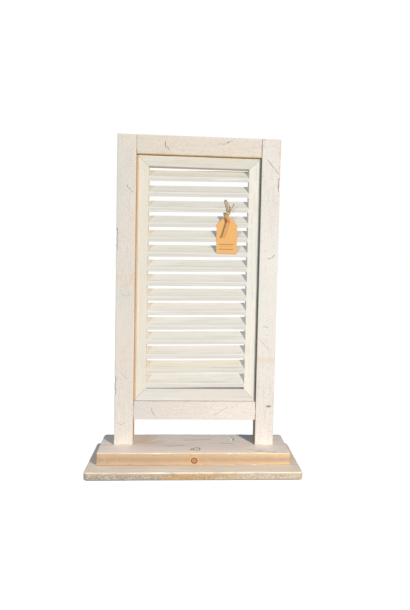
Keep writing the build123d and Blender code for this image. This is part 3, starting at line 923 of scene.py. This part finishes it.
tag_coat = Coat("kraft_card", KRAFT, roughness=0.8)
tag_coat.layer(tag_coat.place.clouds(1.2 * MM, (1, 1, 0.4), 3.0).step(0.5, 0.75) * 0.3, CARD_SHADE)
tag_coat.layer(tag_coat.place.clouds(0.5 * MM, (1, 1, 1), 2.0).step(0.45, 0.2) * 0.3, CARD_LIGHT)
for height, half, width, colour in RULES:
    ends = [Vector((tag_middle.x - 1 * MM + end * half * MM, 0.2 * tag_low.y, height * MM)) for end in (-1, 1)]
    ink = tag_coat.place.vector("MULTIPLY", (1, 0.2, 1)).gap_to_line(*ends)
    tag_coat.layer(ink.step((width + 0.15) * MM, (width - 0.15) * MM) * 0.9, colour)
tag_coat.put_on(tag)
ring_coat = Coat("ring_paper", TAG_RING, roughness=0.7)
ring_coat.layer(ring_coat.place.clouds(0.8 * MM).step(0.5, 0.75) * 0.4, RING_SHADE)
ring_coat.put_on(ring)
set_in(tag, "hang_tag")
set_in(ring, "hang_tag")

# The twine
# Two-ply jute twine goes round the third slat and through the tag's hole. It is knotted in front
# between them, and both its ends stick out, cut and a little frayed.
TWINE = 2.6 * MM
PLY_RADIUS = 1.05 * MM
PLY_OFF = 0.72 * MM
PLY_TWIST = 9 * MM
PLY_SIDES = 22
UPPER_END = ((74.0, -1.6, 560.6), (69.8, -1.2, 550.8), (65.8, -0.8, 542.4), (62.2, -0.8, 535.6))
FIRST_TURN = ((58.6, 0.8, 532.6), (55.0, 2.6, 534.4), (54.0, 4.0, 539.0), (56.4, 4.8, 542.6),
              (59.0, 3.6, 540.6), (58.2, 1.8, 537.6), (59.8, 2.0, 536.8))
SLAT_LOOP = ((61.6, 2.6, 540.8), (62.2, 2.0, 547.8), (61.4, 4.6, 556.8), (60.9, 13.0, 565.0),
             (59.6, 22.0, 571.8), (57.8, 29.2, 573.0), (55.8, 32.4, 566.4), (55.0, 31.2, 556.5),
             (55.2, 24.0, 547.5), (55.6, 15.0, 541.5), (55.2, 9.2, 540.0))
SECOND_TURN = ((53.8, 4.4, 541.0), (55.2, 0.6, 539.4), (58.8, -0.6, 535.2))
TAG_LOOP = ((61.4, 0.8, 530.4), (61.4, 2.6, 525.6), (61.0, 8.8, 524.8), (60.8, 10.0, 529.6),
            (60.2, 9.0, 534.8), (58.0, 6.2, 537.8))
THIRD_TURN = ((55.0, 2.6, 537.2), (56.6, -0.8, 534.0), (60.6, -2.2, 531.0))
LOWER_END = ((61.8, -1.8, 526.4), (60.0, -1.2, 519.4), (57.6, -1.0, 511.6), (54.8, -1.0, 502.6),
             (52.6, -0.8, 495.2), (50.4, 0.2, 491.6))
JUTE = tint(226, 180, 126)
JUTE_SHADE = tint(166, 118, 70)
JUTE_LIGHT = tint(246, 210, 160)
KNOT_SHADE = tint(98, 72, 54)
KNOT_SHADE_AT = Vector((56.4, 4, 541)) * MM
FRAYED = 9

route = UPPER_END + FIRST_TURN + SLAT_LOOP + SECOND_TURN + TAG_LOOP + THIRD_TURN + LOWER_END
line = bpy.data.curves.new("twine_line", "CURVE")
line.dimensions = "3D"
spline = line.splines.new("NURBS")
spline.points.add(len(route) - 1)
for point, at in zip(spline.points, route):
    point.co = (Vector(at) * MM).to_4d()
spline.order_u = 3
spline.use_endpoint_u = True
spline.resolution_u = 8
line_object = new_object("twine_line", line)
bpy.context.view_layer.update()
line_mesh = bpy.data.meshes.new_from_object(line_object)
laid = [vertex.co.copy() for vertex in line_mesh.vertices]
bpy.data.meshes.remove(line_mesh)
bpy.data.objects.remove(line_object)

twine_mesh = bmesh.new()
along_twine = twine_mesh.loops.layers.uv.new("UVMap")


def ply_reach(around):
    """The twine's outline: two round plies side by side, as far out as the nearer one reaches."""
    across = PLY_OFF * math.sin(around)
    return PLY_OFF * abs(math.cos(around)) + math.sqrt(PLY_RADIUS ** 2 - across ** 2)


def skin(rings, travelled):
    """Closes a row of rings of points into a tube, its map in metres along and round it."""
    for before, after, start, end in zip(rings, rings[1:], travelled, travelled[1:]):
        for k in range(len(before)):
            following = (k + 1) % len(before)
            face = twine_mesh.faces.new((before[k], before[following], after[following], after[k]))
            face.smooth = True
            turns = (k, k + 1, k + 1, k)
            for loop, at, turn in zip(face.loops, (start, start, end, end), turns):
                loop[along_twine].uv = (at, turn / len(before) * math.pi * TWINE)
    for cap in (tuple(reversed(rings[0])), tuple(rings[-1])):
        middle = twine_mesh.verts.new(sum((vertex.co for vertex in cap), Vector()) / len(cap))
        for k in range(len(cap)):
            twine_mesh.faces.new((cap[k], cap[(k + 1) % len(cap)], middle))


travelled = [0.0]
for before, after in zip(laid, laid[1:]):
    travelled.append(travelled[-1] + (after - before).length)
side = Vector((1, 0, 0))
rings = []
for number, point in enumerate(laid):
    ahead = (laid[min(number + 1, len(laid) - 1)] - laid[max(number - 1, 0)]).normalized()
    side = (side - ahead * side.dot(ahead)).normalized()
    over = ahead.cross(side)
    turned = 2 * math.pi * travelled[number] / PLY_TWIST
    angles = [2 * math.pi * k / PLY_SIDES for k in range(PLY_SIDES)]
    rings.append([twine_mesh.verts.new(point + ply_reach(angle) * (
        side * math.cos(angle + turned) + over * math.sin(angle + turned))) for angle in angles])
skin(rings, travelled)

chance = random.Random(4)
for tip, inner in ((laid[0], laid[1]), (laid[-1], laid[-2])):
    out = (tip - inner).normalized()
    for fibre in range(FRAYED):
        stray = Vector([chance.uniform(-1, 1) for axis in range(3)])
        start = tip - out * (0.5 * MM) + stray * (0.6 * MM)
        lean = (out + 0.45 * stray).normalized()
        flat = lean.orthogonal().normalized()
        reach = chance.uniform(1.5, 3.2) * MM
        rings = []
        for share, radius in ((0.0, 0.17 * MM), (0.5, 0.15 * MM), (1.0, 0.06 * MM)):
            at = start + lean * (reach * share) + stray * (share * share * 0.5 * MM)
            rings.append([twine_mesh.verts.new(at + radius * (Matrix.Rotation(turn, 3, lean) @ flat))
                          for turn in (0.0, 2 * math.pi / 3, 4 * math.pi / 3)])
        skin(rings, [0.0, reach / 2, reach])

made = bpy.data.meshes.new("jute_twine")
twine_mesh.to_mesh(made)
twine_mesh.free()
twine = new_object("jute_twine", made)
twine_coat = Coat("jute", JUTE, roughness=0.85)
fibres = twine_coat.place.node("UVMap", {"uv_map": "UVMap"}, {})
strands = fibres.clouds(0.5 * MM, (0.12, 1, 1), 3.0)
twine_coat.layer(strands.step(0.45, 0.7) * 0.6, JUTE_SHADE, height=-0.1 * MM)
twine_coat.layer(strands.step(0.42, 0.25) * 0.6, JUTE_LIGHT)
# Painted shade: the twine is darker round the knot, where its turns shade one another.
knot_shade_gap = twine_coat.place.gap_to_point(KNOT_SHADE_AT)
twine_coat.layer(knot_shade_gap.step(5 * MM, 2.8 * MM) * 0.7, KNOT_SHADE)
twine_coat.put_on(twine)
set_in(twine, "twine")

# The floor, the lamps and the camera
# The shutter stands on a white floor under a white sky. A hard, low lamp on the right and a weaker,
# bluer one on the left light the frame. The foot has lamps of its own: a near one on the right, whose
# shadows fan out, a bluer one on the left and a small soft one at its left end.
FLOOR_REACH = 30.0
CAMERA_AT = Vector((-25.1, -1110.3, 431.2)) * MM
CAMERA_YAW, CAMERA_PITCH, CAMERA_ROLL = (math.radians(angle) for angle in (3.83, 3.061, 1.272))
CAMERA_LENS = 30.81
CAMERA_SHIFT = (-0.0248, -0.0190)
FLOOR_WHITE = tint(244, 243, 241)
FLOOR_SHADE = tint(242, 241, 240)
FLOOR_GLOW = 0.9
SKY_COLOUR = tint(226, 237, 255)
SKY_STRENGTH = 0.2
WHITE = (1.0, 1.0, 1.0, 1.0)
KEY_COLOUR = (255, 246, 234)
FILL_COLOUR = (212, 237, 255)
SIDE_COLOUR = (250, 244, 240)

bpy.ops.object.select_all(action="DESELECT")
bpy.ops.mesh.primitive_plane_add(size=2 * FLOOR_REACH)
floor = bpy.context.object
floor.name = "floor"
floor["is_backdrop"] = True
floor_coat = Coat("floor_white", FLOOR_WHITE, roughness=0.9)
floor_coat.layer(floor_coat.place.clouds(0.5).step(0.3, 0.7) * 0.3, FLOOR_SHADE)
floor_coat.put_on(floor)
floor_shader = floor_coat.tree.nodes["Principled BSDF"]
floor_shader.inputs["Emission Color"].default_value = WHITE
floor_shader.inputs["Emission Strength"].default_value = FLOOR_GLOW
floor_coat.material.cycles.emission_sampling = "NONE"
floor.visible_diffuse = False
floor.visible_glossy = False

for only in ("foot_only", "frame_only"):
    bpy.data.collections.new(only)
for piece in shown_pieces():
    group = "foot_only" if piece in (plate, plinth) else "frame_only"
    bpy.data.collections[group].objects.link(piece)


def hang_lamp(name, light, colour, lit):
    """Puts a lamp in the scene and lets it light one group of pieces only."""
    light.color = tint(*colour)[:3]
    made = new_object(name, light)
    made.light_linking.receiver_collection = bpy.data.collections[lit]
    return made


def far_lamp(name, side, height, strength, colour, softness, lit):
    """A far lamp at a bearing right of the front and a height above the floor, both in degrees."""
    light = bpy.data.lights.new(name, "SUN")
    light.energy = strength
    light.angle = math.radians(softness)
    made = hang_lamp(name, light, colour, lit)
    bearing, rise = math.radians(side), math.radians(height)
    level_reach = math.cos(rise)
    towards = Vector((math.sin(bearing) * level_reach, -math.cos(bearing) * level_reach, math.sin(rise)))
    made.rotation_mode = "QUATERNION"
    made.rotation_quaternion = towards.to_track_quat("Z", "Y")


def near_lamp(name, at, power, colour, size, lit):
    """A small round lamp that stands near the shutter."""
    light = bpy.data.lights.new(name, "POINT")
    light.energy = power
    light.shadow_soft_size = size
    hang_lamp(name, light, colour, lit).location = at


far_lamp("key", side=28, height=11, strength=2.37, colour=KEY_COLOUR, softness=1.5, lit="frame_only")
far_lamp("left_fill", side=-33, height=10, strength=1.2, colour=FILL_COLOUR, softness=1.5, lit="frame_only")
near_lamp("foot_key", at=(0.80, -1.35, 0.98), power=132, colour=KEY_COLOUR, size=0.025, lit="foot_only")
far_lamp("foot_left_fill", side=-33, height=10, strength=1.2, colour=FILL_COLOUR, softness=3, lit="foot_only")
near_lamp("foot_side_fill", at=(-0.60, 0.10, 0.35), power=4.0, colour=SIDE_COLOUR, size=0.25, lit="foot_only")

world = bpy.data.worlds.new("white_sky")
bpy.context.scene.world = world
world.use_nodes = True
world_tree = world.node_tree
sky = world_tree.nodes["Background"]
sky.inputs["Color"].default_value = SKY_COLOUR
sky.inputs["Strength"].default_value = SKY_STRENGTH
backdrop = world_tree.nodes.new("ShaderNodeBackground")
backdrop.inputs["Color"].default_value = WHITE
seen = world_tree.nodes.new("ShaderNodeMixShader")
path = world_tree.nodes.new("ShaderNodeLightPath")
world_tree.links.new(path.outputs["Is Camera Ray"], seen.inputs[0])
world_tree.links.new(sky.outputs[0], seen.inputs[1])
world_tree.links.new(backdrop.outputs[0], seen.inputs[2])
world_tree.links.new(seen.outputs[0], world_tree.nodes["World Output"].inputs["Surface"])
bpy.context.scene.view_settings.view_transform = "Standard"

camera = new_object("camera", bpy.data.cameras.new("camera"))
turned = Matrix.Rotation(CAMERA_ROLL, 3, "Y") @ Matrix.Rotation(CAMERA_PITCH, 3, "X") @ Matrix.Rotation(
    CAMERA_YAW, 3, "Z")
right, forward, up = turned
camera.matrix_world = Matrix.Translation(CAMERA_AT) @ Matrix((right, up, -forward)).transposed().to_4x4()
camera.data.lens = CAMERA_LENS
camera.data.shift_x, camera.data.shift_y = CAMERA_SHIFT
bpy.context.scene.camera = camera
